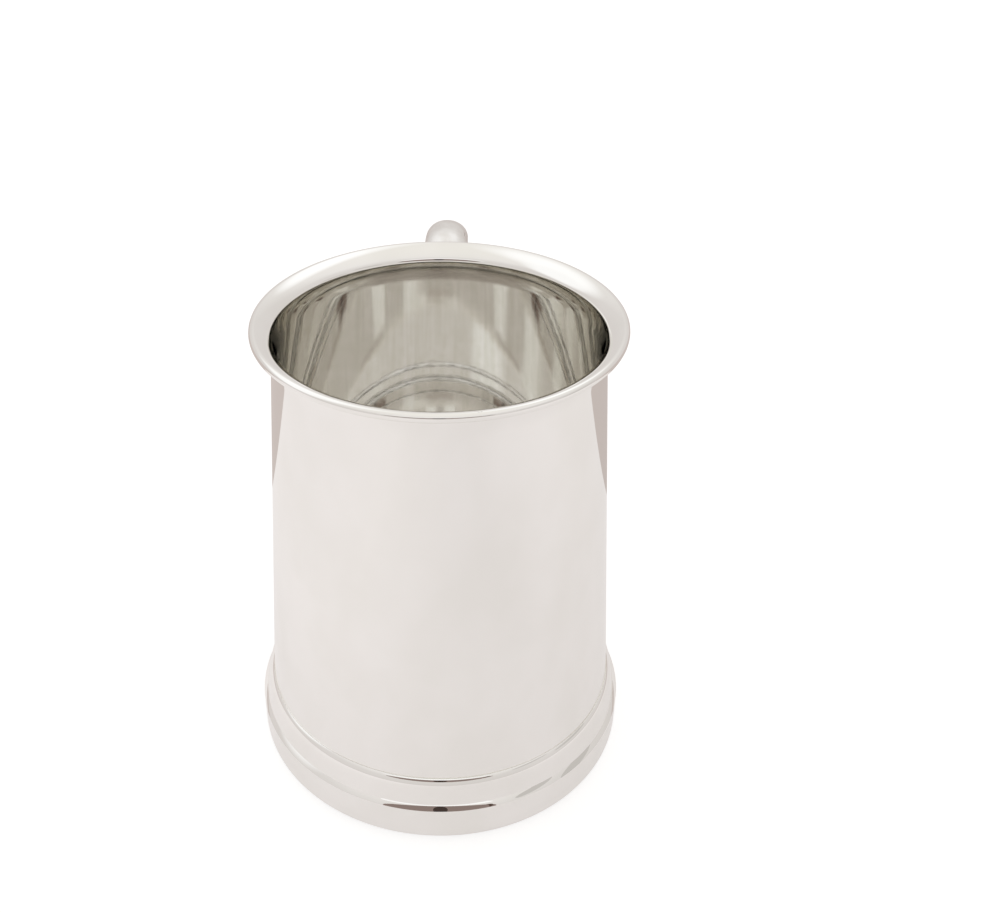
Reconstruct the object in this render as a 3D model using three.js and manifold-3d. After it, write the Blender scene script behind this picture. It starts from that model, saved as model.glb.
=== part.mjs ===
// A one-pint silver tankard: a tapered sheet body with a flared lip and a rim wire, a floor pan soldered
// inside it, a stepped hollow foot with a wired edge, and a hollow handle made of two halves on two plates.
// Millimetres, +Z up, the handle towards +Y. The foot stands on Z = 0.
import * as THREE from "three";
import { mergeVertices } from "three/addons/utils/BufferGeometryUtils.js";
import Module from "manifold-3d";

// Body
const HEIGHT = 129.4; // table to the top of the rim
const BODY_WALL = 1.0; // thickness of the body sheet
const NECK_RADIUS = 41.2; // outside of the body at its narrowest, where the lip starts
const BODY_TAPER = 6.9; // how much wider the body's radius is at the foot than at the neck

// Lip and rim wire
const RIM_OVERHANG = 4.8; // how far the rim stands out past the neck
const RIM_WIRE = 2.4; // diameter of the wire along the edge of the lip
const LIP_ANGLE = 58; // degrees that the lip leans out from upright
const LIP_BEND = 3.5; // radius of the bend under the lip, at the middle of the sheet

// Foot
const FOOT_WALL = 1.2; // thickness of the foot's sheet
const FOOT_WIRE = 4.6; // diameter of the wire inside the foot's lower edge
const STAND_WIDTH = 2.5; // width of the flat ring that the tankard stands on
const BAND_HEIGHT = 11.9; // table to the top of the plain band
const STEP_IN = 1.1; // width of the bevelled step above the band
const STEP_RISE = 1.2; // height of that step
const SHOULDER_RISE = 7.4; // height of the shoulder, from the step to the body
const SHOULDER_LEAN = 9.2; // degrees that the shoulder leans in from upright
const SHOULDER_ROUND = 1.6; // length of the shoulder that its rounded brow takes up
const SHOULDER_LEDGE = 0.6; // how far that brow reaches in to the foot's upper edge
const TOP_EDGE = 0.4; // thickness of the foot's upper edge around the body
const SEAT_RISE = 1.5; // from the top of the step to the seat of the body's lower edge
const SEAT_WIDTH = 2.2; // width of that seat
const SEAT_THICKNESS = 1.2; // of the ledge that makes the seat

// Floor pan
const FLOOR_WALL = 1.0; // thickness of the floor pan
const FLOOR_LIFT = 4.4; // from the body's lower edge up to the underside of the floor
const FLOOR_FLANGE = 7.7; // height of the pan's upturned flange, from its underside
const FLOOR_BEND = 2.0; // outer radius between floor and flange

// Handle
const HANDLE_WIDTH = 13.0; // across the handle at its upper end
const HANDLE_CROWN = 5.4; // from the seam to the outer side, at the upper end
const HANDLE_BELLY = 4.0; // from the seam to the inner side, at the upper end
const HANDLE_TAIL = 9.4; // across the handle at its lower end
const HANDLE_WALL = 0.9; // thickness of the two halves
const HANDLE_DROP = 0.9; // from the rim's top down to the top of the handle
const HANDLE_PEAK = 12.0; // from the rim's edge out to the highest point of the handle
const HANDLE_REACH = 36.0; // from the rim's edge out to the middle of the handle at its widest
const HANDLE_BACK = 25.0; // from the highest point down to the widest point
const UPPER_ANGLE = 42; // degrees above level that the handle leaves the body at
const LOWER_ANGLE = 35; // degrees below level that the handle comes back to the body at
const UPPER_PULL = 0.36; // roundness of the bend from the upper joint to the top
const TOP_PULL = 0.39; // roundness of the bend over the top
const LOWER_PULL = 0.37; // roundness of the long bend down to the lower joint
const UPPER_DROP = 15.5; // from the start of the lip down to the upper joint
const LOWER_RISE = 14.5; // from the foot's upper edge up to the lower joint
const VENT = 1.6; // diameter of the vent in the inner half
const VENT_RISE = 9.0; // from the lower joint up along the handle to the vent

// Handle plates
const PLATE_WALL = 1.1; // thickness of the plates between handle and body
const UPPER_PLATE = { width: 19.0, height: 21.0 };
const LOWER_PLATE = { width: 15.5, height: 17.5 };

// Fits and fineness
const GAP = 0.3; // solder gap between neighbouring pieces
const ROUND_SIDES = 60; // sides of the round pieces
const WIRE_SIDES = 12; // sides of a wire's section
const BEND_STEPS = 5; // steps in a bend
const PATH_STEPS = 36; // steps along the handle
const SECTION_STEPS = 8; // steps across each half of the handle
const PLATE_STEPS = 32; // sides of an oval plate
const MERGE = 1e-4; // distance under which two corners are one

// Places that follow from the sizes above
const rimRadius = NECK_RADIUS + RIM_OVERHANG;
const bodyFootRadius = NECK_RADIUS + BODY_TAPER;
const shoulderLean = SHOULDER_RISE * Math.tan(THREE.MathUtils.degToRad(SHOULDER_LEAN));
const browRadius = bodyFootRadius + GAP + TOP_EDGE + SHOULDER_LEDGE;
const footRadius = browRadius + shoulderLean + STEP_IN;
const stepTop = BAND_HEIGHT + STEP_RISE;
const footTop = stepTop + SHOULDER_RISE;
const seatZ = stepTop + SEAT_RISE;
const footRoll = FOOT_WALL + GAP + FOOT_WIRE / 2;
const floorZ = seatZ + FLOOR_LIFT;
const lipAngle = THREE.MathUtils.degToRad(LIP_ANGLE);
const neckMiddle = NECK_RADIUS - BODY_WALL / 2;
const rimWireRadius = rimRadius - RIM_WIRE / 2;
const rimWireZ = HEIGHT - RIM_WIRE / 2;
const bendOut = LIP_BEND * (1 - Math.cos(lipAngle));
const lipLength = (rimWireRadius - neckMiddle - bendOut) / Math.sin(lipAngle);
const neckZ = rimWireZ - LIP_BEND * Math.sin(lipAngle) - lipLength * Math.cos(lipAngle);
const upperZ = neckZ - UPPER_DROP;
const lowerZ = footTop + LOWER_RISE;

const wasm = await Module();
wasm.setup();

// Outside radius of the tapered body at a height.
function bodyRadius(z) {
  return NECK_RADIUS + (BODY_TAPER * (neckZ - z)) / (neckZ - footTop);
}

const point = (radius, z) => new THREE.Vector2(radius, z);

// Points on an arc about a centre, from one angle to another, in degrees from the outward direction.
function arc(centre, radius, from, to, steps) {
  return Array.from({ length: steps + 1 }, (_, i) => {
    const angle = THREE.MathUtils.degToRad(from + ((to - from) * i) / steps);
    return point(centre.x + radius * Math.cos(angle), centre.y + radius * Math.sin(angle));
  });
}

// A closed outline of radius and height turned about the Z axis. It runs up the outside and down the inside.
function turned(outline) {
  const geometry = new THREE.LatheGeometry([...outline, outline[0]], ROUND_SIDES);
  return geometry.rotateX(Math.PI / 2);
}

// A ring of round wire.
function wireRing(centre, diameter) {
  return turned(arc(centre, diameter / 2, 0, 360, WIRE_SIDES).slice(0, WIRE_SIDES));
}

// One side of the lip, offset from the middle of the sheet towards the inside of the cup.
function lipSide(offset) {
  const centre = point(neckMiddle + LIP_BEND, neckZ);
  const side = arc(centre, LIP_BEND + offset, 180, 180 - LIP_ANGLE, BEND_STEPS);
  const straight = lipLength - RIM_WIRE / 2 - GAP;
  const along = point(Math.sin(lipAngle), Math.cos(lipAngle));
  side.push(side[BEND_STEPS].clone().addScaledVector(along, straight));
  return side;
}

function bodyWall() {
  const outside = [point(bodyRadius(seatZ), seatZ), ...lipSide(-BODY_WALL / 2)];
  const inside = [point(bodyRadius(seatZ) - BODY_WALL, seatZ), ...lipSide(BODY_WALL / 2)];
  return turned([...outside, ...inside.reverse()]);
}

function rimWire() {
  return wireRing(point(rimWireRadius, rimWireZ), RIM_WIRE);
}

function floorPan() {
  const flangeTop = floorZ + FLOOR_FLANGE;
  const fit = (z) => bodyRadius(z) - BODY_WALL - GAP;
  const corner = point(fit(floorZ + FLOOR_BEND) - FLOOR_BEND, floorZ + FLOOR_BEND);
  return turned([
    point(0, floorZ),
    ...arc(corner, FLOOR_BEND, -90, 0, BEND_STEPS),
    point(fit(flangeTop), flangeTop),
    point(fit(flangeTop) - FLOOR_WALL, flangeTop),
    ...arc(corner, FLOOR_BEND - FLOOR_WALL, 0, -90, BEND_STEPS),
    point(0, floorZ + FLOOR_WALL),
  ]);
}

// The stepped foot, with its lower edge rolled in round the foot wire and a seat for the body.
function footMoulding() {
  const roll = point(footRadius - footRoll, footRoll);
  const standInside = roll.x - STAND_WIDTH;
  const collar = (z) => bodyRadius(z) + GAP;
  const seatInside = collar(seatZ) - SEAT_WIDTH;
  const step = point(footRadius - STEP_IN, stepTop);
  const topEdge = point(collar(footTop) + TOP_EDGE, footTop);
  const brow = point(browRadius, footTop);
  const browStart = brow.clone().add(step.clone().sub(brow).setLength(SHOULDER_ROUND));
  const shoulder = new THREE.QuadraticBezierCurve(browStart, brow, topEdge);
  return turned([
    point(standInside, 0),
    ...arc(roll, footRoll, -90, 0, BEND_STEPS),
    point(footRadius, BAND_HEIGHT),
    step,
    ...shoulder.getPoints(BEND_STEPS),
    point(collar(footTop), footTop),
    point(collar(seatZ), seatZ),
    point(seatInside, seatZ),
    point(seatInside, seatZ - SEAT_THICKNESS),
    point(footRadius - FOOT_WALL, BAND_HEIGHT - FOOT_WALL),
    ...arc(roll, footRoll - FOOT_WALL, 0, -90, BEND_STEPS),
    point(standInside, FOOT_WALL),
  ]);
}

function footWire() {
  return wireRing(point(footRadius - footRoll, footRoll), FOOT_WIRE);
}

// A closed geometry as a solid that can be joined and cut.
function solid(geometry) {
  const bare = geometry.clone();
  bare.deleteAttribute("normal");
  bare.deleteAttribute("uv");
  const merged = mergeVertices(bare, MERGE);
  const vertProperties = merged.getAttribute("position").array;
  const triVerts = new Uint32Array(merged.index.array);
  return new wasm.Manifold(new wasm.Mesh({ numProp: 3, vertProperties, triVerts }));
}

// A solid as a geometry again.
function surface(manifold) {
  const { vertProperties, triVerts } = manifold.getMesh();
  const geometry = new THREE.BufferGeometry();
  geometry.setAttribute("position", new THREE.BufferAttribute(vertProperties, 3));
  geometry.setIndex(new THREE.BufferAttribute(triVerts, 1));
  geometry.computeVertexNormals();
  return geometry;
}

// The tapered shell round the body, between two distances out from its surface.
function bodyLayer(from, to) {
  const line = (distance) => [
    point(bodyRadius(footTop) + distance, footTop),
    point(bodyRadius(neckZ) + distance, neckZ),
  ];
  return solid(turned([...line(to), ...line(from).reverse()]));
}

// An oval plate between the handle and the body, bent to the body's surface.
function handlePlate(z, plate) {
  const oval = new THREE.Shape().absellipse(0, 0, plate.width / 2, plate.height / 2, 0, 2 * Math.PI);
  const form = { depth: footRadius, bevelEnabled: false, curveSegments: PLATE_STEPS / 2 };
  const prism = new THREE.ExtrudeGeometry(oval, form);
  prism.rotateX(-Math.PI / 2).translate(0, 0, z);
  return surface(solid(prism).intersect(bodyLayer(GAP, GAP + PLATE_WALL)));
}

// The middle line of the handle: out of the upper joint, over the top and down into the lower joint.
function handlePath() {
  const place = (y, z) => new THREE.Vector3(0, y, z);
  const heading = (degrees) => {
    const angle = THREE.MathUtils.degToRad(degrees);
    return place(Math.cos(angle), Math.sin(angle));
  };
  const bend = (start, startWay, end, endWay, pull) => {
    const length = pull * start.distanceTo(end);
    const leave = start.clone().addScaledVector(startWay, length);
    const arrive = end.clone().addScaledVector(endWay, -length);
    return new THREE.CubicBezierCurve3(start, leave, arrive, end);
  };
  const upper = place(bodyRadius(upperZ), upperZ);
  const peak = place(rimRadius + HANDLE_PEAK, HEIGHT - HANDLE_DROP - HANDLE_CROWN - GAP / 2);
  const widest = place(rimRadius + HANDLE_REACH, peak.z - HANDLE_BACK);
  const lower = place(bodyRadius(lowerZ), lowerZ);
  const outWay = heading(UPPER_ANGLE);
  const level = heading(0);
  const down = heading(-90);
  const inWay = heading(180 + LOWER_ANGLE);
  const path = new THREE.CurvePath();
  path.add(new THREE.LineCurve3(upper.clone().addScaledVector(outWay, -HANDLE_WIDTH), upper));
  path.add(bend(upper, outWay, peak, level, UPPER_PULL));
  path.add(bend(peak, level, widest, down, TOP_PULL));
  path.add(bend(widest, down, lower, inWay, LOWER_PULL));
  path.add(new THREE.LineCurve3(lower, lower.clone().addScaledVector(inWay, HANDLE_WIDTH)));
  return path;
}

// One half of the handle as a channel along the path. Side 1 is the outer half, side -1 the inner half.
function handleChannel(path, side) {
  const across = new THREE.Vector3(1, 0, 0);
  const depth = side > 0 ? HANDLE_CROWN : HANDLE_BELLY;
  const positions = [];
  const ring = 2 * (SECTION_STEPS + 1);
  for (let i = 0; i <= PATH_STEPS; i++) {
    const share = i / PATH_STEPS;
    const size = THREE.MathUtils.lerp(HANDLE_WIDTH, HANDLE_TAIL, share) / HANDLE_WIDTH;
    const middle = path.getPointAt(share);
    const outward = path.getTangentAt(share).cross(across).multiplyScalar(-side);
    for (let j = 0; j < ring; j++) {
      const wall = j <= SECTION_STEPS ? 0 : HANDLE_WALL;
      const step = j <= SECTION_STEPS ? j : ring - 1 - j;
      const angle = (Math.PI * step) / SECTION_STEPS;
      const x = ((HANDLE_WIDTH / 2) * size - wall) * Math.cos(angle);
      const rise = GAP / 2 + (depth * size - wall) * Math.sin(angle);
      const spot = middle.clone().addScaledVector(across, x * side).addScaledVector(outward, rise);
      positions.push(spot.x, spot.y, spot.z);
    }
  }
  const index = [];
  const quad = (a, b, c, d) => index.push(a, b, c, a, c, d);
  for (let i = 0; i < PATH_STEPS; i++) {
    for (let j = 0; j < ring; j++) {
      const next = (j + 1) % ring;
      quad(i * ring + j, (i + 1) * ring + j, (i + 1) * ring + next, i * ring + next);
    }
  }
  const last = PATH_STEPS * ring;
  for (let j = 0; j < SECTION_STEPS; j++) {
    const facing = ring - 1 - j;
    quad(j, j + 1, facing - 1, facing);
    quad(last + j, last + facing, last + facing - 1, last + j + 1);
  }
  const geometry = new THREE.BufferGeometry();
  geometry.setAttribute("position", new THREE.Float32BufferAttribute(positions, 3));
  geometry.setIndex(index);
  return geometry;
}

// The tapered solid that the handle's two ends are trimmed to.
function handleTrim() {
  const clear = GAP + PLATE_WALL + GAP;
  return solid(
    turned([
      point(0, 0),
      point(bodyRadius(0) + clear, 0),
      point(bodyRadius(HEIGHT) + clear, HEIGHT),
      point(0, HEIGHT),
    ]),
  );
}

function handleOuter(path) {
  return surface(solid(handleChannel(path, 1)).subtract(handleTrim()));
}

// The inner half has a small vent through it near the lower joint, square to the wall there.
function handleInner(path) {
  const share = 1 - (HANDLE_WIDTH + VENT_RISE) / path.getLength();
  const drill = new THREE.CylinderGeometry(VENT / 2, VENT / 2, 2 * HANDLE_BELLY, WIRE_SIDES);
  const inward = path.getTangentAt(share).cross(new THREE.Vector3(1, 0, 0));
  drill.applyQuaternion(new THREE.Quaternion().setFromUnitVectors(new THREE.Vector3(0, 1, 0), inward));
  const start = path.getPointAt(share).addScaledVector(inward, HANDLE_BELLY);
  drill.translate(start.x, start.y, start.z);
  return surface(solid(handleChannel(path, -1)).subtract(handleTrim()).subtract(solid(drill)));
}

// Finishes, as colour, roughness and metalness.
const polished = [0xe6e4e0, 0.08, 1];
const inside = [0xc9c5bd, 0.16, 1];
const hidden = [0xcfccc6, 0.3, 1];

function piece(name, geometry, [color, roughness, metalness]) {
  const material = new THREE.MeshStandardMaterial({ color, roughness, metalness });
  const mesh = new THREE.Mesh(geometry, material);
  mesh.name = name;
  return mesh;
}

const path = handlePath();
const tankard = new THREE.Group();
tankard.add(
  piece("body_wall", bodyWall(), polished),
  piece("rim_wire", rimWire(), polished),
  piece("floor_pan", floorPan(), inside),
  piece("foot_moulding", footMoulding(), polished),
  piece("foot_wire", footWire(), hidden),
  piece("upper_handle_plate", handlePlate(upperZ, UPPER_PLATE), polished),
  piece("lower_handle_plate", handlePlate(lowerZ, LOWER_PLATE), polished),
  piece("handle_outer_half", handleOuter(path), polished),
  piece("handle_inner_half", handleInner(path), polished),
);

// The part's origin is on the table, at the middle of the tankard's length from foot to handle.
const box = new THREE.Box3().setFromObject(tankard, true);
tankard.position.y = -(box.min.y + box.max.y) / 2;

const part = new THREE.Group();
part.add(tankard);

export default part;
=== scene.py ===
"""Looks of a one-pint silver tankard: polished body and foot, satin handle, duller inside, white table."""
import math

import bpy
from mathutils import Matrix, Vector


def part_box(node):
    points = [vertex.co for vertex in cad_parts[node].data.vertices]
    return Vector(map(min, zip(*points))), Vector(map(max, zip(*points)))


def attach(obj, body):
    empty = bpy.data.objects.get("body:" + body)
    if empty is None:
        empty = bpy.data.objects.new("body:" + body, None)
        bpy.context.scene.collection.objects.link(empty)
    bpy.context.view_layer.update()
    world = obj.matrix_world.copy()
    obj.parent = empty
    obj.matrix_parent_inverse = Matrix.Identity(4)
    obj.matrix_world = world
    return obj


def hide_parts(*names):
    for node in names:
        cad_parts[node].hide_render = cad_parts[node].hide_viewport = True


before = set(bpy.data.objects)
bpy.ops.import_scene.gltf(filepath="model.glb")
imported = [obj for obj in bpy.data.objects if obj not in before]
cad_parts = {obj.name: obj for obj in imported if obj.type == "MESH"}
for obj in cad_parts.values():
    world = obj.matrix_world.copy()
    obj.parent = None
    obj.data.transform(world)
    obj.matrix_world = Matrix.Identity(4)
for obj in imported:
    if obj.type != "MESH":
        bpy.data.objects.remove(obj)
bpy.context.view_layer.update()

MM = 0.001

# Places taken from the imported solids
rim_low, rim_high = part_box("rim_wire")
pan_low, pan_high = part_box("floor_pan")
foot_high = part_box("foot_moulding")[1]
foot_wire_low, foot_wire_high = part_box("foot_wire")
AXIS_Y = (rim_low.y + rim_high.y) / 2
HEIGHT = rim_high.z
RIM_RADIUS = rim_high.x
RIM_WIRE = rim_high.z - rim_low.z
SEAT_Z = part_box("body_wall")[0].z
FLOOR_Z = pan_low.z
FLANGE_TOP = pan_high.z
FOOT_RADIUS = foot_high.x
FOOT_TOP = foot_high.z
FOOT_WIRE = foot_wire_high.z - foot_wire_low.z
FOOT_WIRE_RADIUS = foot_wire_high.x - FOOT_WIRE / 2
FOOT_WIRE_Z = foot_wire_low.z + FOOT_WIRE / 2

# Body, whose sheet thickens and whose lip opens in three bends, with the lean at each bend's end in degrees
BODY_WALL = 1.0 * MM
NECK_RADIUS = 41.2 * MM
BODY_TAPER = 6.9 * MM
NECK_DROP = 5.7 * MM
THICK_START = 100 * MM
THICKENING = 0.2 * MM
FLARE_START = 120.3 * MM
FLARE_BEND = 23 * MM
FLARE_ANGLE = 8
THROAT_ANGLE = 40
LIP_ANGLE = 70

# Foot, with half the turn of its crowned step and the end of its rounded brow in degrees
FOOT_WALL = 1.2 * MM
STAND_WIDTH = 2.5 * MM
BAND_HEIGHT = 11.9 * MM
STEP_IN = 1.1 * MM
STEP_RISE = 1.2 * MM
STEP_CROWN = 2.5
BROW_ROUND = 4.5 * MM
BROW_END = 48
GROOVE_WIDTH = 0.15 * MM
GROOVE_DEPTH = 0.15 * MM
SEAT_WIDTH = 2.2 * MM
SEAT_THICKNESS = 1.2 * MM

# Floor pan
FLOOR_WALL = 1.0 * MM
FLOOR_BEND = 2.0 * MM
FLOOR_DISH = 0.3 * MM

# Handle, with its angles in degrees and its pulls as shares of the way to the next place
HANDLE_WIDTH = 13.0 * MM
HANDLE_CROWN = 5.4 * MM
HANDLE_BELLY = 4.0 * MM
HANDLE_TAIL = 9.4 * MM
HANDLE_WALL = 0.9 * MM
HANDLE_DROP = 0.9 * MM
HANDLE_PEAK = 12.0 * MM
HANDLE_REACH = 36.0 * MM
HANDLE_BACK = 25.0 * MM
HANDLE_SEAM = 0.05 * MM
UPPER_ANGLE = 42
LOWER_ANGLE = 35
END_PULL = 1 / 3
UPPER_PULL = 0.36
TOP_PULL = 0.39
LOWER_PULL = 0.37
UPPER_DROP = 15.5 * MM
LOWER_RISE = 14.5 * MM
VENT = 1.6 * MM
VENT_RISE = 9.0 * MM

# Plates of the handle, with the width and height of each oval
PLATE_WALL = 1.1 * MM
PLATE_EDGE = 0.3 * MM
EDGE_STEPS = 3
EDGE_ANGLE = math.radians(50)
UPPER_PLATE = (19.0 * MM, 21.0 * MM)
LOWER_PLATE = (15.5 * MM, 17.5 * MM)

# Small marks of the making, and the solder round the floor
RIM_SEAM_TURN = 13.2
RIM_PIT = 0.45 * MM
HANDLE_MARK = Vector((5.0, 40.8, 125.8)) * MM
HANDLE_PIT = (0.25 * MM, 1.4 * MM, 0.3 * MM)
SOLDER_BEAD = 0.6 * MM
SOLDER_LUMPS = 0.45 * MM

# Dull ring inside the lip, darkened with painted shade, at the front and back only: its edges and its ends,
# each from clear to full
DULL_SHADED_LOW = (119.9 * MM, 120.7 * MM)
DULL_SHADED_HIGH = (125.5 * MM, 122.5 * MM)
DULL_SHADED_ENDS = (32 * MM, 36 * MM)

# Fineness of the round pieces
TURN_STEPS = 256
WIRE_STEPS = 24
BEND_STEPS = 12
WALL_STEPS = 10
OVAL_SIDES = 96
PATH_STEPS = 24
SUPPORT = 0.4 * MM
MERGE_REACH = SUPPORT / 100
SMOOTH_ANGLE = math.radians(25)

# A control point of a quarter oval stands off by this share of the oval's radius
OVAL_PULL = 0.5523

# Places that follow
WIRE_CENTRE = Vector((RIM_RADIUS - RIM_WIRE / 2, HEIGHT - RIM_WIRE / 2))
NECK_Z = HEIGHT - NECK_DROP
BODY_SLOPE = BODY_TAPER / (NECK_Z - FOOT_TOP)
UPPER_Z = NECK_Z - UPPER_DROP
LOWER_Z = FOOT_TOP + LOWER_RISE

# Table: its size, where it turns greyer, the painted light and shade of its paper across X, and its white
# for the camera
TABLE_SIZE = 6.0
BACK_EDGE = 92 * MM
PAINTED_SHADE_REACH = 300 * MM
PAINTED_SHADE_LEVELS = [(0, 0.87), (0.3, 0.905), (0.57, 0.79), (0.67, 0.78), (1, 0.86)]
PAPER_SHARE = 0.4
WHITE_GLOW = 0.68
WHITE_SHADE = 0.47

# Sky: its shades from the horizon up, and each lamp's turn, rise, core and edge in degrees and its strength
SKY_SHADES = [(0, "DAD5D2"), (0.4, "DFDBD8"), (0.65, "EEEBE8"), (1, "F4F1EC")]
LAMPS = [(-115, 50, 8, 32, 1.1), (146, 54, 4, 22, 1.1), (-95, 34, 8, 26, 1.05)]

# Sockets of a Mix node that mixes colours: its two colours and its result
FIRST_COLOUR = 6
SECOND_COLOUR = 7
MIXED_COLOUR = 2

# Camera, placed round the cup's axis, with its lens and sensor in millimetres
CAMERA_TURN = math.radians(2.2)
CAMERA_DISTANCE = 260.5 * MM
CAMERA_HEIGHT = 261.5 * MM
CAMERA_YAW = math.radians(-2.958)
CAMERA_PITCH = math.radians(33.553)
CAMERA_ROLL = math.radians(-0.61)
CAMERA_LENS = 43.105
CAMERA_SENSOR = 36
CAMERA_SHIFT = 0.0739


def body_radius(z):
    """Outside radius of the tapered body at a height."""
    return NECK_RADIUS + BODY_SLOPE * (NECK_Z - z)


def inside_radius(z):
    """Inside radius of the body, whose sheet thickens a little towards the lip."""
    rise = max(0, (z - THICK_START) / (NECK_Z - THICK_START))
    return body_radius(z) - BODY_WALL - THICKENING * rise ** 2


def facing(degrees):
    """Direction in a section, from an angle counted from the outward direction."""
    return Vector((math.cos(math.radians(degrees)), math.sin(math.radians(degrees))))


def arc(centre, radius, start, end, steps=BEND_STEPS):
    """Points of an arc in a section, from one angle to another, as facing counts them."""
    return [centre + radius * facing(start + (end - start) * i / steps) for i in range(steps + 1)]


def supported(outline):
    """The outline with a point close to both ends of each long stretch, which keeps it flat when shaded."""
    points = []
    for start, end in zip(outline, outline[1:] + outline[:1]):
        points.append(start)
        run = end - start
        if run.length > 3 * SUPPORT:
            points.append(start + run.normalized() * SUPPORT)
            points.append(end - run.normalized() * SUPPORT)
    return points


def turned(name, outline):
    """A piece turned on the tankard's axis: its section is drawn edge by edge and spun a full turn."""
    points = [Vector((p.x, AXIS_Y, p.y)) for p in supported(outline)]
    bpy.ops.object.select_all(action="DESELECT")
    bpy.ops.mesh.primitive_plane_add(size=MM)
    piece = bpy.context.object
    piece.name = piece.data.name = name
    bpy.ops.object.mode_set(mode="EDIT")
    bpy.ops.mesh.select_all(action="SELECT")
    bpy.ops.mesh.merge(type="CENTER")
    bpy.ops.transform.translate(value=points[0])
    for start, end in zip(points, points[1:] + points[:1]):
        bpy.ops.mesh.extrude_region_move(TRANSFORM_OT_translate={"value": end - start})
    bpy.ops.mesh.select_all(action="SELECT")
    bpy.ops.mesh.remove_doubles(threshold=MERGE_REACH)
    bpy.ops.mesh.select_all(action="SELECT")
    bpy.ops.mesh.spin(steps=TURN_STEPS, angle=2 * math.pi, center=(0, AXIS_Y, 0), axis=(0, 0, 1))
    bpy.ops.mesh.select_all(action="SELECT")
    bpy.ops.mesh.remove_doubles(threshold=MERGE_REACH)
    bpy.ops.mesh.normals_make_consistent(inside=False)
    bpy.ops.object.mode_set(mode="OBJECT")
    bpy.ops.object.shade_smooth_by_angle(angle=SMOOTH_ANGLE)
    return piece


def apply_modifier(piece, kind, **settings):
    """Adds a modifier with its settings to the piece and applies it."""
    bpy.ops.object.select_all(action="DESELECT")
    bpy.context.view_layer.objects.active = piece
    bpy.ops.object.modifier_add(type=kind)
    for name, value in settings.items():
        setattr(piece.modifiers[-1], name, value)
    bpy.ops.object.modifier_apply(modifier=piece.modifiers[-1].name)


def combine(piece, tool, operation):
    """Cuts the piece with the tool, or keeps only what lies inside both, and deletes the tool."""
    apply_modifier(piece, "BOOLEAN", operation=operation, object=tool)
    tool.select_set(True)
    bpy.ops.object.delete()


def pit(piece, place, size):
    """A small dent in the piece."""
    bpy.ops.object.select_all(action="DESELECT")
    bpy.ops.mesh.primitive_uv_sphere_add(
        segments=WIRE_STEPS, ring_count=BEND_STEPS, radius=1, location=place)
    bpy.context.object.scale = size
    combine(piece, bpy.context.object, "DIFFERENCE")


def body():
    """Tapered sheet whose lip opens in a slow flare, a tight throat and a wide bend over the rim wire."""
    start = Vector((inside_radius(FLARE_START), FLARE_START))
    lean = math.degrees(math.atan((inside_radius(FLARE_START - MM) - start.x) / MM))
    angles = [180 + lean, 180 - FLARE_ANGLE, 180 - THROAT_ANGLE, 180 - LIP_ANGLE]
    ways = [facing(a) for a in angles]
    end = WIRE_CENTRE + ways[3] * RIM_WIRE / 2
    left = end - start - FLARE_BEND * (ways[1] - ways[0])
    throat, lip = ways[2] - ways[1], ways[3] - ways[2]
    scale = throat.cross(lip)
    bends = [FLARE_BEND, left.cross(lip) / scale, throat.cross(left) / scale]
    centres = [start - bends[0] * ways[0]]
    for i in (1, 2):
        centres.append(centres[-1] + (bends[i - 1] - bends[i]) * ways[i])

    def lip_side(inset):
        arcs = [arc(c, r - inset, a, b) for c, r, a, b in zip(centres, bends, angles, angles[1:])]
        return arcs[0] + arcs[1][1:] + arcs[2][1:]

    heights = [THICK_START + (FLARE_START - THICK_START) * i / WALL_STEPS for i in range(WALL_STEPS)]
    inner = [Vector((inside_radius(z), z)) for z in [SEAT_Z, *heights]] + lip_side(0)
    outer = [Vector((body_radius(SEAT_Z), SEAT_Z))] + lip_side(BODY_WALL)
    return turned("body", outer + inner[::-1])


def rim():
    """The wire along the lip, with a pit in the solder where its ends meet."""
    piece = turned("rim", arc(WIRE_CENTRE, RIM_WIRE / 2, 0, 360, WIRE_STEPS)[:-1])
    front = facing(RIM_SEAM_TURN - 90) * WIRE_CENTRE.x
    pit(piece, (front.x, AXIS_Y + front.y, HEIGHT), [RIM_PIT] * 3)
    return piece


def solder_bead(name, place, seed):
    """An uneven ring of solder."""
    bead = turned(name, arc(place, SOLDER_BEAD, 0, 360, BEND_STEPS)[:-1])
    bpy.ops.object.mode_set(mode="EDIT")
    bpy.ops.mesh.select_all(action="SELECT")
    bpy.ops.transform.vertex_random(offset=SOLDER_LUMPS, seed=seed)
    bpy.ops.mesh.vertices_smooth(factor=0.5, repeat=2)
    bpy.ops.object.mode_set(mode="OBJECT")
    bpy.ops.object.shade_smooth()
    return bead


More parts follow.
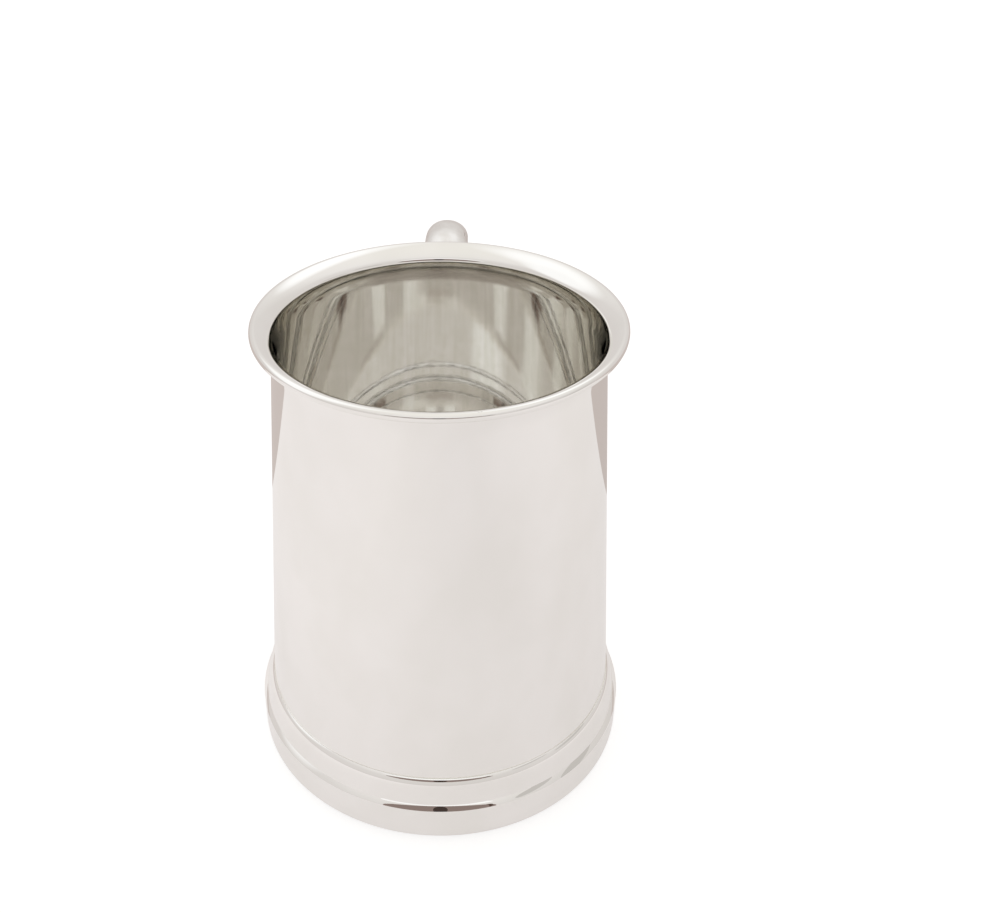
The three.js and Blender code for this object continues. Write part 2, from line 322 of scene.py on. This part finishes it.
def floor_pan():
    """The dished floor, whose flange lies on the body's wall and is soldered along its top and its bend."""
    def wall(z):
        return body_radius(z) - BODY_WALL

    def floor(z):
        shares = [i / WALL_STEPS for i in range(WALL_STEPS)]
        return [Vector((corner.x * t, z + FLOOR_DISH * (t * t - 1))) for t in shares]

    corner = Vector((wall(FLOOR_Z + FLOOR_BEND) - FLOOR_BEND, FLOOR_Z + FLOOR_BEND))
    pan = turned("cup_floor", [
        *floor(FLOOR_Z),
        *arc(corner, FLOOR_BEND, -90, 0),
        Vector((wall(FLANGE_TOP), FLANGE_TOP)),
        Vector((wall(FLANGE_TOP) - FLOOR_WALL, FLANGE_TOP - FLOOR_WALL)),
        *arc(corner, FLOOR_BEND - FLOOR_WALL, 0, -90),
        *floor(FLOOR_Z + FLOOR_WALL)[::-1],
    ])
    top_place = Vector((wall(FLANGE_TOP) - SOLDER_BEAD, FLANGE_TOP - SOLDER_BEAD))
    low_place = Vector((corner.x, FLOOR_Z + FLOOR_WALL))
    top = solder_bead("top_solder", top_place, seed=3)
    low = solder_bead("low_solder", low_place, seed=8)
    pan.data.materials.append(inside)
    for bead in (top, low):
        bead.data.materials.append(solder)
    bpy.ops.object.select_all(action="DESELECT")
    for piece in (top, low, pan):
        piece.select_set(True)
    bpy.context.view_layer.objects.active = pan
    bpy.ops.object.join()
    return pan


def foot():
    """Plain band, crowned step, shoulder and rounded brow, with the lower edge rolled in round its wire."""
    roll_radius = FOOT_RADIUS - FOOT_WIRE_RADIUS
    roll = Vector((FOOT_WIRE_RADIUS, FOOT_WIRE_Z))
    stand = FOOT_WIRE_RADIUS - STAND_WIDTH
    edge = Vector((FOOT_RADIUS, BAND_HEIGHT))
    step = Vector((FOOT_RADIUS - STEP_IN, BAND_HEIGHT + STEP_RISE))
    lean = math.degrees(math.atan2(STEP_IN, STEP_RISE))
    crown = (step - edge).length / (2 * math.sin(math.radians(STEP_CROWN)))
    bevel = edge - crown * facing(lean - STEP_CROWN)
    brow_end = Vector((body_radius(FOOT_TOP) + GROOVE_WIDTH, FOOT_TOP))
    brow = brow_end - BROW_ROUND * facing(BROW_END)
    away = brow - step
    shoulder_lean = math.degrees(math.atan2(away.y, away.x) - math.acos(-BROW_ROUND / away.length))
    groove = FOOT_TOP - GROOVE_DEPTH
    seat = body_radius(SEAT_Z) - SEAT_WIDTH
    return turned("foot", [
        Vector((stand, 0)),
        *arc(roll, roll_radius, -90, 0),
        *arc(bevel, crown, lean - STEP_CROWN, lean + STEP_CROWN),
        *arc(brow, BROW_ROUND, shoulder_lean, BROW_END),
        Vector((body_radius(groove), groove)),
        Vector((body_radius(SEAT_Z), SEAT_Z)),
        Vector((seat, SEAT_Z)),
        Vector((seat, SEAT_Z - SEAT_THICKNESS)),
        Vector((FOOT_RADIUS - FOOT_WALL, BAND_HEIGHT - FOOT_WALL)),
        *arc(roll, roll_radius - FOOT_WALL, 0, -90),
        Vector((stand, FOOT_WALL)),
    ])


def foot_wire():
    """The wire that the foot's lower edge is rolled round."""
    centre = Vector((FOOT_WIRE_RADIUS, FOOT_WIRE_Z))
    return turned("foot_wire", arc(centre, FOOT_WIRE / 2, 0, 360, WIRE_STEPS)[:-1])


def handle_plate(name, z, size):
    """An oval plate bent to the body, with a softened edge."""
    low = z - size[1]
    high = min(z + size[1], NECK_Z)
    piece = turned(name, [
        Vector((body_radius(low), low)),
        Vector((body_radius(low) + PLATE_WALL, low)),
        Vector((body_radius(high) + PLATE_WALL, high)),
        Vector((body_radius(high), high)),
    ])
    bpy.ops.object.select_all(action="DESELECT")
    bpy.ops.mesh.primitive_cylinder_add(
        vertices=OVAL_SIDES, radius=0.5, depth=FOOT_RADIUS, rotation=(math.pi / 2, 0, 0),
        location=(0, AXIS_Y + FOOT_RADIUS, z))
    oval = bpy.context.object
    oval.scale = (*size, 1)
    combine(piece, oval, "INTERSECT")
    apply_modifier(piece, "BEVEL", width=PLATE_EDGE, segments=EDGE_STEPS, angle_limit=EDGE_ANGLE)
    apply_modifier(piece, "WEIGHTED_NORMAL")
    return piece


def bezier(name, points):
    """A Bezier line through places that each stand between their two control points."""
    bpy.ops.object.select_all(action="DESELECT")
    bpy.ops.curve.primitive_bezier_curve_add()
    line = bpy.context.object
    line.name = name
    spline = line.data.splines[0]
    spline.bezier_points.add(len(points) - len(spline.bezier_points))
    for knot, (before, place, after) in zip(spline.bezier_points, points):
        knot.handle_left_type = "FREE"
        knot.handle_right_type = "FREE"
        knot.co = place
        knot.handle_left = before
        knot.handle_right = after
    return line


def handle_path(name):
    """Middle line of the handle: out of the upper joint, over the top and down into the lower joint."""
    def place(y, z):
        return Vector((0, AXIS_Y + y, z))

    def heading(degrees):
        return Vector((0, math.cos(math.radians(degrees)), math.sin(math.radians(degrees))))

    upper = place(body_radius(UPPER_Z), UPPER_Z)
    peak = place(RIM_RADIUS + HANDLE_PEAK, HEIGHT - HANDLE_DROP - HANDLE_CROWN)
    widest = place(RIM_RADIUS + HANDLE_REACH, peak.z - HANDLE_BACK)
    lower = place(body_radius(LOWER_Z), LOWER_Z)
    out_way = heading(UPPER_ANGLE)
    in_way = heading(180 + LOWER_ANGLE)
    places = [upper - out_way * HANDLE_WIDTH, upper, peak, widest, lower, lower + in_way * HANDLE_WIDTH]
    ways = [out_way, out_way, heading(0), heading(-90), in_way, in_way]
    pulls = [END_PULL, UPPER_PULL, TOP_PULL, LOWER_PULL, END_PULL]
    spans = [(b - a).length for a, b in zip(places, places[1:])]
    reach = [pull * span for pull, span in zip(pulls, spans)]
    before = [0, *reach]
    after = [*reach, 0]
    path = bezier(name, [(p - w * b, p, p + w * a) for p, w, b, a in zip(places, ways, before, after)])
    for i, knot in enumerate(path.data.splines[0].bezier_points):
        share = sum(spans[:i]) / sum(spans)
        knot.radius = 1 + (HANDLE_TAIL / HANDLE_WIDTH - 1) * share
    return path


def half_section(depth, side):
    """Closed section of one half of the hollow handle. Side 1 is the outer half, -1 the inner."""
    def flat(x, y):
        return Vector((x, side * (HANDLE_SEAM + y), 0))

    wide, thin = HANDLE_WIDTH / 2, HANDLE_WIDTH / 2 - HANDLE_WALL
    tall, low = depth - HANDLE_SEAM, depth - HANDLE_SEAM - HANDLE_WALL
    section = bezier("section", [
        (flat(-wide, 0), flat(-wide, 0), flat(-wide, tall * OVAL_PULL)),
        (flat(-wide * OVAL_PULL, tall), flat(0, tall), flat(wide * OVAL_PULL, tall)),
        (flat(wide, tall * OVAL_PULL), flat(wide, 0), flat(wide, 0)),
        (flat(thin, 0), flat(thin, 0), flat(thin, low * OVAL_PULL)),
        (flat(thin * OVAL_PULL, low), flat(0, low), flat(-thin * OVAL_PULL, low)),
        (flat(-thin, low * OVAL_PULL), flat(-thin, 0), flat(-thin, 0)),
    ])
    section.data.splines[0].use_cyclic_u = True
    return section


def swept(name, section):
    """The section swept along the handle's middle line, as a closed mesh. The section is deleted."""
    piece = handle_path(name)
    piece.data.twist_mode = "MINIMUM"
    piece.data.resolution_u = PATH_STEPS
    piece.data.bevel_mode = "OBJECT"
    piece.data.bevel_object = section
    piece.data.use_fill_caps = True
    bpy.ops.object.select_all(action="DESELECT")
    bpy.context.view_layer.objects.active = piece
    piece.select_set(True)
    bpy.ops.object.convert(target="MESH")
    bpy.ops.object.mode_set(mode="EDIT")
    bpy.ops.mesh.select_all(action="SELECT")
    bpy.ops.mesh.remove_doubles(threshold=MERGE_REACH)
    bpy.ops.mesh.normals_make_consistent(inside=False)
    bpy.ops.object.mode_set(mode="OBJECT")
    bpy.ops.object.select_all(action="DESELECT")
    section.select_set(True)
    bpy.ops.object.delete()
    return piece


def vent(piece):
    """The hole near the lower joint that lets air out of the hollow handle."""
    lean = math.radians(LOWER_ANGLE)
    along = Vector((0, math.cos(lean), math.sin(lean)))
    across = Vector((0, -math.sin(lean), math.cos(lean)))
    joint = Vector((0, AXIS_Y + body_radius(LOWER_Z), LOWER_Z))
    bpy.ops.object.select_all(action="DESELECT")
    bpy.ops.mesh.primitive_cylinder_add(
        vertices=WIRE_STEPS, radius=VENT / 2, depth=2 * HANDLE_BELLY, rotation=(lean, 0, 0),
        location=joint + along * VENT_RISE + across * HANDLE_BELLY)
    combine(piece, bpy.context.object, "DIFFERENCE")


def handle_half(name, depth, side):
    """One half of the hollow handle, cut off at its plates. The outer has a pit and the inner a vent."""
    piece = swept(name, half_section(depth, side))
    bpy.ops.object.select_all(action="DESELECT")
    bpy.ops.mesh.primitive_cone_add(
        vertices=TURN_STEPS, radius1=body_radius(0) + PLATE_WALL, radius2=body_radius(HEIGHT) + PLATE_WALL,
        depth=HEIGHT, location=(0, AXIS_Y, HEIGHT / 2))
    combine(piece, bpy.context.object, "DIFFERENCE")
    if side > 0:
        pit(piece, HANDLE_MARK, HANDLE_PIT)
    else:
        vent(piece)
    piece.select_set(True)
    bpy.ops.object.shade_smooth_by_angle(angle=SMOOTH_ANGLE)
    return piece


def linear(code):
    """An sRGB hex colour as linear red, green, blue and alpha."""
    parts = [int(code[i:i + 2], 16) / 255 for i in (0, 2, 4)]
    return [c / 12.92 if c <= 0.04045 else ((c + 0.055) / 1.055) ** 2.4 for c in parts] + [1.0]


def add_node(tree, kind, inputs=None, stops=(), **settings):
    """Adds a node with its settings, sets or links its inputs, and sets the stops of a colour ramp."""
    node = tree.nodes.new(kind)
    for name, value in settings.items():
        setattr(node, name, value)
    for socket, value in (inputs or {}).items():
        if isinstance(value, bpy.types.NodeSocket):
            tree.links.new(value, node.inputs[socket])
        else:
            node.inputs[socket].default_value = value
    for i, (place, colour) in enumerate(stops):
        stop = node.color_ramp.elements[i] if i < 2 else node.color_ramp.elements.new(place)
        stop.position = place
        stop.color = colour
    return node


def new_material(name):
    """A material with an empty node tree."""
    material = bpy.data.materials.new(name)
    material.use_nodes = True
    material.node_tree.nodes.clear()
    return material, material.node_tree


def marks(tree, size):
    """Soft marks of a finish, as long as the given lengths along X, Y and Z."""
    place = add_node(tree, "ShaderNodeTexCoord").outputs["Object"]
    cells = add_node(tree, "ShaderNodeVectorMath", {0: place, 1: size}, operation="DIVIDE").outputs[0]
    return add_node(tree, "ShaderNodeTexNoise", {"Vector": cells, "Scale": 1.0, "Detail": 2.0}).outputs[0]


def tinted(tree, height, reach, first, second):
    """A colour that goes from one tint to another where the marks' height goes through a reach."""
    share = add_node(tree, "ShaderNodeMapRange", {
        "Value": height, "From Min": reach[0], "From Max": reach[1]}).outputs[0]
    tints = {"Factor": share, FIRST_COLOUR: linear(first), SECOND_COLOUR: linear(second)}
    return add_node(tree, "ShaderNodeMix", tints, data_type="RGBA").outputs[MIXED_COLOUR]


def end_metal(tree, inputs):
    """Ends a metal's node tree with its shader."""
    shader = add_node(tree, "ShaderNodeBsdfPrincipled", {"Metallic": 1.0, **inputs})
    add_node(tree, "ShaderNodeOutputMaterial", {"Surface": shader.outputs["BSDF"]})


def polished_silver():
    """Mirror-bright white metal, with soft marks where it was wiped."""
    material, tree = new_material("polished_silver")
    wiping = marks(tree, (18 * MM, 18 * MM, 26 * MM))
    colour = tinted(tree, wiping, (0.35, 0.65), "F9F8F6", "F5F4F1")
    surface = add_node(tree, "ShaderNodeBump", {"Height": wiping, "Distance": 0.008 * MM}).outputs[0]
    end_metal(tree, {"Base Color": colour, "Roughness": 0.02, "Normal": surface})
    return material


def worn_silver():
    """Silver rubbed satin by hands, which blurs what it mirrors."""
    material, tree = new_material("worn_silver")
    rubbing = marks(tree, (3 * MM, 3 * MM, 3 * MM))
    colour = tinted(tree, rubbing, (0.35, 0.65), "F3F2F0", "ECEAE7")
    surface = add_node(tree, "ShaderNodeBump", {"Height": rubbing, "Distance": 0.01 * MM}).outputs[0]
    end_metal(tree, {"Base Color": colour, "Roughness": 0.35, "Normal": surface})
    return material


def inside_silver():
    """Silver wiped but not buffed: soft upright streaks, slow waves, and a dull ring under the lip with
    painted shade.
    """
    material, tree = new_material("inside_silver")
    place = add_node(tree, "ShaderNodeTexCoord").outputs["Object"]
    along = add_node(tree, "ShaderNodeSeparateXYZ", {0: place}).outputs
    deep = add_node(tree, "ShaderNodeMath", {0: along["Y"], 1: AXIS_Y}, operation="SUBTRACT").outputs[0]
    deep = add_node(tree, "ShaderNodeMath", {0: deep}, operation="ABSOLUTE").outputs[0]
    # The dull ring: its roughness is a dull finish, and its darker tint, only at the front and back, is
    # painted shade
    dull = 1.0
    for value, (clear, full) in ((along["Z"], DULL_SHADED_LOW), (along["Z"], DULL_SHADED_HIGH), (deep, DULL_SHADED_ENDS)):
        dull = add_node(tree, "ShaderNodeMapRange", {
            "Value": value, "From Min": clear, "From Max": full, "To Max": dull}).outputs[0]
    roughness = add_node(tree, "ShaderNodeMapRange", {
        "Value": dull, "To Min": 0.04, "To Max": 0.2}).outputs[0]
    streaks = marks(tree, (4 * MM, 4 * MM, 60 * MM))
    waves = marks(tree, (14 * MM, 14 * MM, 14 * MM))
    colour = tinted(tree, streaks, (0.3, 0.7), "F4F3F1", "EEEDE9")
    # Painted shade: this tint darkens the silver in the ring under the lip at the front and back
    tints = {"Factor": dull, FIRST_COLOUR: colour, SECOND_COLOUR: linear("DAD5D0")}
    colour = add_node(tree, "ShaderNodeMix", tints, data_type="RGBA").outputs[MIXED_COLOUR]
    surface = add_node(tree, "ShaderNodeBump", {"Height": waves, "Distance": 0.01 * MM}).outputs[0]
    surface = add_node(tree, "ShaderNodeBump", {
        "Height": streaks, "Distance": 0.004 * MM, "Normal": surface}).outputs[0]
    end_metal(tree, {"Base Color": colour, "Roughness": roughness, "Normal": surface})
    return material


def hard_solder():
    """Bright, lumpy solder left as it flowed."""
    material, tree = new_material("hard_solder")
    end_metal(tree, {"Base Color": linear("EFEDE8"), "Roughness": 0.35})
    return material


def unpolished_silver():
    """Silver wire as it was drawn, dull and hidden."""
    material, tree = new_material("unpolished_silver")
    end_metal(tree, {"Base Color": linear("E7E6E3"), "Roughness": 0.35})
    return material


def white_paper():
    """Paper, white to the camera. Metal mirrors it faintly pink, greyer behind, and with painted light and
    shade across X.
    """
    material, tree = new_material("white_paper")
    rays = add_node(tree, "ShaderNodeLightPath").outputs
    place = add_node(tree, "ShaderNodeTexCoord").outputs["Object"]
    along = add_node(tree, "ShaderNodeSeparateXYZ", {0: place}).outputs
    back = add_node(tree, "ShaderNodeMath", {
        0: along["Y"], 1: BACK_EDGE}, operation="GREATER_THAN").outputs[0]
    tints = {"Factor": back, FIRST_COLOUR: linear("FFFBFA"), SECOND_COLOUR: linear("D9CFCB")}
    tint = add_node(tree, "ShaderNodeMix", tints, data_type="RGBA").outputs[MIXED_COLOUR]
    # Painted light and shade: the glow that the metal mirrors is brighter or darker across X
    across = add_node(tree, "ShaderNodeMapRange", {
        "Value": along["X"], "From Min": -PAINTED_SHADE_REACH, "From Max": PAINTED_SHADE_REACH}).outputs[0]
    shades = [(where, (level, level, level, 1)) for where, level in PAINTED_SHADE_LEVELS]
    uneven = add_node(tree, "ShaderNodeValToRGB", {0: across}, stops=shades).outputs["Color"]
    glow = add_node(tree, "ShaderNodeEmission", {"Color": tint, "Strength": uneven}).outputs[0]
    paper = add_node(tree, "ShaderNodeBsdfDiffuse", {"Color": tint}).outputs[0]
    mirrored = add_node(tree, "ShaderNodeMixShader", {0: PAPER_SHARE, 1: glow, 2: paper}).outputs[0]
    bright = add_node(tree, "ShaderNodeEmission", {
        "Color": (1, 1, 1, 1), "Strength": WHITE_GLOW}).outputs[0]
    grey = (WHITE_SHADE, WHITE_SHADE, WHITE_SHADE, 1)
    shadowed = add_node(tree, "ShaderNodeBsdfDiffuse", {"Color": grey}).outputs[0]
    white = add_node(tree, "ShaderNodeAddShader", {0: bright, 1: shadowed}).outputs[0]
    shown = add_node(tree, "ShaderNodeMixShader", {
        0: rays["Is Glossy Ray"], 1: white, 2: mirrored}).outputs[0]
    seen = rays["Is Camera Ray"]
    for other in (rays["Is Glossy Ray"], rays["Is Transmission Ray"]):
        seen = add_node(tree, "ShaderNodeMath", {0: seen, 1: other}, operation="MAXIMUM").outputs[0]
    surface = add_node(tree, "ShaderNodeMixShader", {0: seen, 1: paper, 2: shown}).outputs[0]
    add_node(tree, "ShaderNodeOutputMaterial", {"Surface": surface})
    return material


def finish_piece(piece, material, node):
    """Gives a piece its material, says what it rides on, and hides the solid that it replaces."""
    if not piece.data.materials:
        piece.data.materials.append(material)
    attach(piece, "root")
    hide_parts(node)


def card(name, place, size, colour, strength=1.0):
    """An oval card that stands upright and faces the tankard, out of the camera's sight."""
    bpy.ops.object.select_all(action="DESELECT")
    turn = math.atan2(place[0], AXIS_Y - place[1])
    bpy.ops.mesh.primitive_circle_add(
        vertices=OVAL_SIDES, radius=0.5, fill_type="NGON", location=place, rotation=(math.pi / 2, 0, turn))
    piece = bpy.context.object
    piece.name = name
    piece.scale = (*size, 1)
    material, tree = new_material(name)
    shade = add_node(tree, "ShaderNodeEmission", {"Color": linear(colour), "Strength": strength})
    add_node(tree, "ShaderNodeOutputMaterial", {"Surface": shade.outputs[0]})
    piece.data.materials.append(material)
    piece.visible_camera = False


def soft_white_light():
    """Light from all round, dimmer near the table, with soft lamps turned from the front towards +X."""
    world = bpy.data.worlds.new("soft_white_light")
    world.use_nodes = True
    tree = world.node_tree
    tree.nodes.clear()
    way = add_node(tree, "ShaderNodeTexCoord").outputs["Generated"]
    along = add_node(tree, "ShaderNodeSeparateXYZ", {0: way}).outputs
    shades = [(height, linear(colour)) for height, colour in SKY_SHADES]
    light = add_node(tree, "ShaderNodeValToRGB", {0: along["Z"]}, stops=shades).outputs["Color"]
    for *angles, strength in LAMPS:
        turn, rise, core, edge = [math.radians(a) for a in angles]
        aim = (math.sin(turn) * math.cos(rise), -math.cos(turn) * math.cos(rise), math.sin(rise))
        near = add_node(tree, "ShaderNodeVectorMath", {
            0: way, 1: aim}, operation="DOT_PRODUCT").outputs["Value"]
        reach = {"Value": near, "From Min": math.cos(edge), "From Max": math.cos(core)}
        share = add_node(tree, "ShaderNodeMapRange", reach, interpolation_type="SMOOTHSTEP").outputs[0]
        tints = {"Factor": share, FIRST_COLOUR: light, SECOND_COLOUR: (strength, strength, strength, 1)}
        light = add_node(tree, "ShaderNodeMix", tints, data_type="RGBA").outputs[MIXED_COLOUR]
    sky = add_node(tree, "ShaderNodeBackground", {"Color": light, "Strength": 1.0}).outputs[0]
    add_node(tree, "ShaderNodeOutputWorld", {"Surface": sky})
    return world


silver = polished_silver()
worn = worn_silver()
inside = inside_silver()
solder = hard_solder()
drawn = unpolished_silver()

# The body is polished outside and on its lip, and has the inside's finish, with its painted shade, up to
# the top of the dull ring
tankard_body = body()
finish_piece(tankard_body, silver, "body_wall")
tankard_body.data.materials.append(inside)
for face in tankard_body.data.polygons:
    middle = Vector((face.center.x, face.center.y - AXIS_Y, 0))
    if face.normal.dot(middle) < 0 and face.center.z < DULL_SHADED_HIGH[0]:
        face.material_index = 1

# The other pieces
finish_piece(rim(), silver, "rim_wire")
finish_piece(floor_pan(), inside, "floor_pan")
finish_piece(foot(), silver, "foot_moulding")
finish_piece(foot_wire(), drawn, "foot_wire")
upper_plate = handle_plate("upper_plate", UPPER_Z, UPPER_PLATE)
finish_piece(upper_plate, silver, "upper_handle_plate")
lower_plate = handle_plate("lower_plate", LOWER_Z, LOWER_PLATE)
finish_piece(lower_plate, silver, "lower_handle_plate")
handle_outer = handle_half("handle_outer", HANDLE_CROWN, 1)
finish_piece(handle_outer, worn, "handle_outer_half")
handle_inner = handle_half("handle_inner", HANDLE_BELLY, -1)
finish_piece(handle_inner, worn, "handle_inner_half")

bpy.ops.object.select_all(action="DESELECT")
bpy.ops.mesh.primitive_plane_add(size=TABLE_SIZE)
table = bpy.context.object
table.name = "table"
table.data.materials.append(white_paper())

# Cards that the metal mirrors: a dim opening with dark things in it, a bright strip over it, and two panels
card("opening", (0.012, -0.42, 0.2415), (0.47, 0.109), "8C7C76")
card("camera_stand", (0.015, -0.419, 0.2415), (0.055, 0.1), "463B37")
card("opening_edge", (0.203, -0.419, 0.2515), (0.06, 0.05), "57463F")
card("front_strip", (0, -0.42, 0.321), (0.5, 0.05), "FFFFFF", 1.05)
card("front_panel", (0.41, -0.305, 0.267), (0.21, 0.066), "C8C4C0")
card("side_panel", (0.495, -0.092, 0.17), (0.22, 0.087), "C8C4C0")

bpy.ops.object.camera_add()
camera = bpy.context.object
camera.data.lens = CAMERA_LENS
camera.data.sensor_width = CAMERA_SENSOR
camera.data.shift_x = CAMERA_SHIFT
spot = Vector((math.sin(CAMERA_TURN), -math.cos(CAMERA_TURN), 0)) * CAMERA_DISTANCE
camera.matrix_world = (
    Matrix.Translation(spot + Vector((0, AXIS_Y, CAMERA_HEIGHT)))
    @ Matrix.Rotation(-CAMERA_YAW, 4, "Z")
    @ Matrix.Rotation(math.pi / 2 - CAMERA_PITCH, 4, "X")
    @ Matrix.Rotation(CAMERA_ROLL, 4, "Z")
)

scene = bpy.context.scene
scene.world = soft_white_light()
scene.camera = camera
scene.view_settings.view_transform = "Standard"

# The inside of the cup mirrors itself many times, so light may bounce often
scene.cycles.max_bounces = 16
scene.cycles.glossy_bounces = 12
